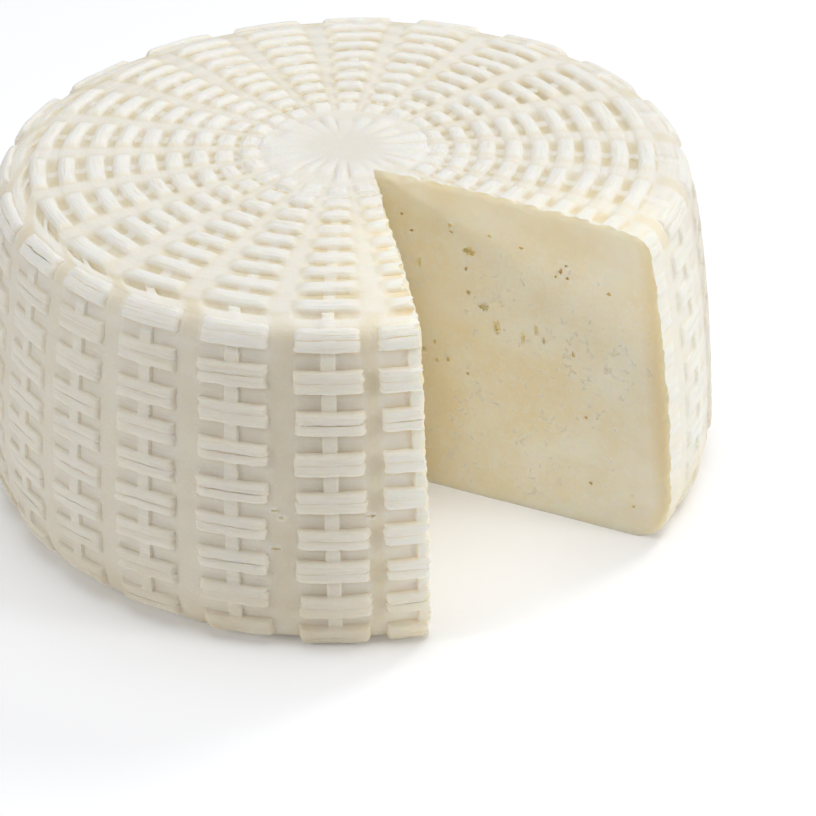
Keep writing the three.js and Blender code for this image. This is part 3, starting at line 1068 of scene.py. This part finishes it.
def torn_pits(tree, spot, level):
    """Clusters of small torn pits below the top: their rims, which get painted highlights, and their middles,
    which get painted shade.
    """
    clusters = add(tree, "ShaderNodeTexNoise", PIT_CLUSTERS, {"Vector": spot}, out="Fac")
    clustered = add(tree, "ShaderNodeMapRange", CLUSTERED, {"Value": clusters})
    pits = add(tree, "ShaderNodeTexNoise", PITS, {"Vector": spot}, out="Fac")
    tears = add(tree, "ShaderNodeMath", links={0: pits, 1: clustered}, operation="ADD")
    below = add(tree, "ShaderNodeMapRange", BELOW_TOP, {"Value": level})
    rims = add(tree, "ShaderNodeMapRange", PIT_RIMS, {"Value": tears})
    middles = add(tree, "ShaderNodeMapRange", PIT_MIDDLES, {"Value": tears})
    shown_rims = add(tree, "ShaderNodeMath", links={0: rims, 1: below}, operation="MULTIPLY")
    shown_middles = add(tree, "ShaderNodeMath", links={0: middles, 1: below}, operation="MULTIPLY")
    return shown_rims, shown_middles


# Fresh curd, opened with a knife or by a bubble of air: smooth, damp and closer to cream than the skin, in
# soft patches, with a painted yellow band of light shining through beside the wall on the right, painted
# shadow low in the inner corner, and clusters of small torn pits with painted shade in their middles and
# painted highlights on their rims
def cut_curd(name, pale, cream):
    material, tree = new_material(name)
    spot, _, radius = place_on_wheel(tree)
    level = add(tree, "ShaderNodeSeparateXYZ", links={0: spot}, out="Z")
    rims, pits = torn_pits(tree, spot, level)
    crumb = add(tree, "ShaderNodeTexNoise", CRUMB, {"Vector": spot}, out="Fac")
    flakes = add(tree, "ShaderNodeMapRange", FLAKES, {"Value": crumb})
    torn = add(tree, "ShaderNodeAttribute", out="Fac", attribute_name="torn")
    lips = add(tree, "ShaderNodeMath", links={0: flakes, 1: torn}, operation="MULTIPLY")
    pale_share = add(tree, "ShaderNodeMath", links={0: rims, 1: lips}, operation="MAXIMUM")
    glow_and_shade = glow_and_shade_share(tree, spot, radius, level)
    tint_share = add(tree, "ShaderNodeMath", links={0: pits, 1: glow_and_shade}, operation="MAXIMUM")
    patches = add(tree, "ShaderNodeTexNoise", CUT_PATCHES, {"Vector": spot}, out="Fac")
    blend = add(tree, "ShaderNodeMapRange", CUT_BLEND, {"Value": patches})
    ends = {6: linear(pale), 7: linear(cream)}
    curd = add(tree, "ShaderNodeMix", ends, {"Factor": blend}, out=2, data_type="RGBA")
    crumbs = {7: linear(CUT_CRUMB_AND_HIGHLIGHT)}
    torn_curd = add(tree, "ShaderNodeMix", crumbs, {"Factor": pale_share, 6: curd}, out=2, data_type="RGBA")
    tint = {7: linear(CUT_GLOW_AND_SHADE)}
    colour = add(tree, "ShaderNodeMix", tint, {"Factor": tint_share, 6: torn_curd}, out=2, data_type="RGBA")
    dents = add(tree, "ShaderNodeBump", PIT_DEPTH, {"Height": pits}, invert=True)
    bumps = add(tree, "ShaderNodeBump", CRUMB_DEPTH, {"Height": crumb, "Normal": dents})
    surface = add(
        tree, "ShaderNodeBsdfPrincipled", {"IOR": CURD_IOR, "Roughness": CUT_ROUGHNESS} | GLOW,
        {"Base Color": colour, "Normal": bumps},
    )
    add(tree, "ShaderNodeOutputMaterial", links={"Surface": surface})
    return material


# Wheel
points, faces, creases = moulded_wheel()
wheel = new_object("cheese_wheel_dressed", points, faces)
# The crease values give each point its share of painted shade, with some whey colour
mark_points(wheel, "crease", creases)
wheel.data.materials.append(moulded_curd())
wheel.data.materials.append(cut_curd("knife_cut_fresh_curd", CUT_PALE, CUT_CREAM))
wheel.data.materials.append(cut_curd("open_eye_fresh_curd", EYE_PALE, EYE_CREAM))
cut_away(wheel, wedge_cutter(), KNIFE_CUT)
cut_away(wheel, hollow_cutter(cut_hollows()), OPEN_EYE)
cut_away(wheel, hollow_cutter(skin_hollows()), KNIFE_CUT)
weld(wheel.data)
wheel.data.name = "cheese_wheel_dressed"
wheel.data.polygons.foreach_set("use_smooth", np.ones(len(wheel.data.polygons), dtype=bool))
wheel.data.set_sharp_from_angle(angle=np.radians(SHARP_EDGE))
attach(wheel, "root")
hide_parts("cheese_wheel")

# Stage: a plain white paper floor
FLOOR_HALF = 4000.0
floor_corners = FLOOR_HALF * np.array([(-1, -1, 0), (1, -1, 0), (1, 1, 0), (-1, 1, 0)])
floor = new_object("floor", floor_corners, [[0, 1, 2, 3]])
floor_material, floor_tree = new_material("white_paper_floor")
matt_paper = {"Base Color": linear(PAPER_WHITE), "Roughness": 0.9, "Specular IOR Level": 0.0}
paper_glow = {"Emission Color": (1, 1, 1, 1), "Emission Strength": 0.1}
paper = add(floor_tree, "ShaderNodeBsdfPrincipled", matt_paper | paper_glow)
add(floor_tree, "ShaderNodeOutputMaterial", links={"Surface": paper})
floor.data.materials.append(floor_material)

# Light: a large soft lamp overhead, smaller ones behind on the right and at both sides, and a bright room
LAMPS = {
    "overhead": ((0.1, -0.04, 1.3), 1.2, 9.2),
    "right_back": ((0.75, 0.6, 1.05), 0.4, 4.8),
    "right": ((1.2, -0.45, 0.5), 0.3, 4.2),
    "left": ((-1.15, -0.45, 0.65), 0.4, 4.25),
}
LAMP_AIM = Vector((0, 0, 0.03))
ROOM_LIGHT = 0.17
for name, (place, width, watts) in LAMPS.items():
    lamp = bpy.data.lights.new(name, "AREA")
    lamp.shape = "DISK"
    lamp.size = width
    lamp.energy = watts
    holder = bpy.data.objects.new(name, lamp)
    holder.location = place
    holder.rotation_euler = (LAMP_AIM - Vector(place)).to_track_quat("-Z", "Y").to_euler()
    bpy.context.collection.objects.link(holder)
world = bpy.data.worlds.new("white_room")
world.use_nodes = True
room = world.node_tree.nodes["Background"]
room.inputs["Color"].default_value = (1, 1, 1, 1)
room.inputs["Strength"].default_value = ROOM_LIGHT
bpy.context.scene.world = world
bpy.context.scene.view_settings.view_transform = "Standard"

# Camera: looks down on the front, turned a little to the right
CAMERA_PLACE = (0.0, -0.5754, 0.3645)
CAMERA_PAN = np.radians(1.27)
CAMERA_PITCH = np.radians(31.73)
CAMERA_ROLL = np.radians(-1.1)
CAMERA_LENS = 132.35
camera_data = bpy.data.cameras.new("camera")
camera_data.lens = CAMERA_LENS
camera = bpy.data.objects.new("camera", camera_data)
aimed = Matrix.Rotation(-CAMERA_PAN, 4, "Z") @ Matrix.Rotation(np.pi / 2 - CAMERA_PITCH, 4, "X")
camera.matrix_world = Matrix.Translation(CAMERA_PLACE) @ aimed @ Matrix.Rotation(CAMERA_ROLL, 4, "Z")
bpy.context.collection.objects.link(camera)
bpy.context.scene.camera = camera
